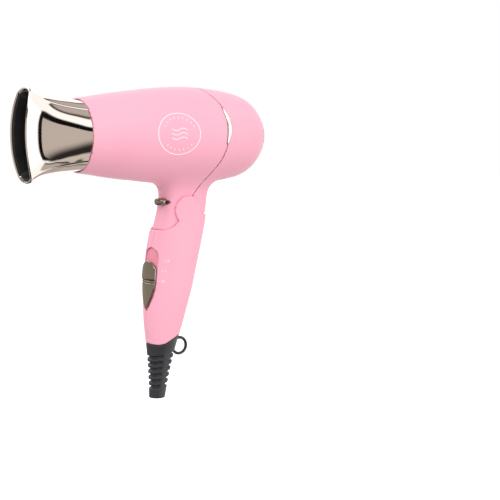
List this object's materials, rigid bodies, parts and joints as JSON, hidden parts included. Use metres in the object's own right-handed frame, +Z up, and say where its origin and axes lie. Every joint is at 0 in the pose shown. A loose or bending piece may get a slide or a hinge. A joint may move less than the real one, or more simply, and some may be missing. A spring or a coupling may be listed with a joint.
{
  "type": "folding travel hair dryer",
  "caption": "Folding travel hair dryer: a short round barrel with a removable slot nozzle, a slide switch, a cool-shot button and a grip that folds under the barrel.",
  "frame": {"origin": "middle of the hand grip, on the dryer's mid-plane", "axes": "+Z up along the grip, -X the way the air leaves the nozzle, Y across the dryer"},
  "size_m": [0.2036, 0.0728, 0.2329],
  "materials": {
    "soft_pink_plastic": "soft-touch matt pink",
    "dark_chrome": "dark nickel chrome, polished",
    "black_plastic": "black moulded plastic",
    "charcoal_rubber": "matt charcoal rubber",
    "gunmetal_switch": "metallised gunmetal plastic",
    "steel": "plain steel",
    "mica": "pressed mica sheet",
    "resistance_wire": "oxidised resistance wire",
    "white_plastic": "white moulded plastic",
    "copper": "copper"
  },
  "bodies": {
    "grip": {"left_handle_shell": "soft_pink_plastic", "right_handle_shell": "soft_pink_plastic", "cord_boot": "charcoal_rubber", "cord_clamp": "white_plastic", "live_lead": "black_plastic", "neutral_lead": "copper", "switch_track": "soft_pink_plastic", "slide_switch": "black_plastic", "upper_handle_screw": "steel", "lower_handle_screw": "steel", "hinge_pin": "steel"},
    "head": {"front_housing": "soft_pink_plastic", "rear_housing": "soft_pink_plastic", "left_trim": "dark_chrome", "right_trim": "dark_chrome", "intake_grille": "black_plastic", "dust_mesh": "steel", "mesh_retainer": "black_plastic", "outlet_tube": "black_plastic", "outlet_grille": "black_plastic", "heat_shield": "mica", "heater_frame": "mica", "heater_coil": "resistance_wire", "thermostat": "steel", "thermal_fuse": "white_plastic", "motor_mount": "black_plastic", "motor_can": "steel", "motor_end_cap": "white_plastic", "noise_capacitor": "copper", "button_bezel": "dark_chrome", "cool_shot_switch": "black_plastic", "left_friction_washer": "steel", "right_friction_washer": "steel"},
    "fan_rotor": {"fan": "black_plastic", "motor_shaft": "steel"},
    "nozzle_push_ring": {"nozzle_collar": "black_plastic"},
    "nozzle": {"nozzle_shell": "dark_chrome", "nozzle_liner": "black_plastic"},
    "cool_shot": {"cool_shot_button": "gunmetal_switch"},
    "slider": {"switch_knob": "gunmetal_switch"}
  },
  "joints": [
    {"name": "fold_hinge", "type": "hinge", "parent": "grip", "child": "head", "pos_m": [0.01, 0, 0.0565], "axis": [0, -1, 0], "range_deg": [0, 71]},
    {"name": "fan_spin", "type": "hinge", "parent": "head", "child": "fan_rotor", "pos_m": [0.036, 0, 0.112], "axis": [1, 0, 0], "continuous": true},
    {"name": "nozzle_pull", "type": "slide", "parent": "head", "child": "nozzle_push_ring", "axis": [-1, 0, 0], "range_m": [0, 0.016]},
    {"name": "nozzle_turn", "type": "hinge", "parent": "nozzle_push_ring", "child": "nozzle", "pos_m": [-0.08, 0, 0.112], "axis": [1, 0, 0], "continuous": true},
    {"name": "cool_shot_press", "type": "slide", "parent": "head", "child": "cool_shot", "axis": [1, 0, 0], "range_m": [0, 0.0018], "stiffness_N_per_m": 500, "springref_m": -0.002},
    {"name": "speed_switch", "type": "slide", "parent": "grip", "child": "slider", "axis": [0.0788, 0, 0.9969], "range_m": [0, 0.01]}
  ]
}
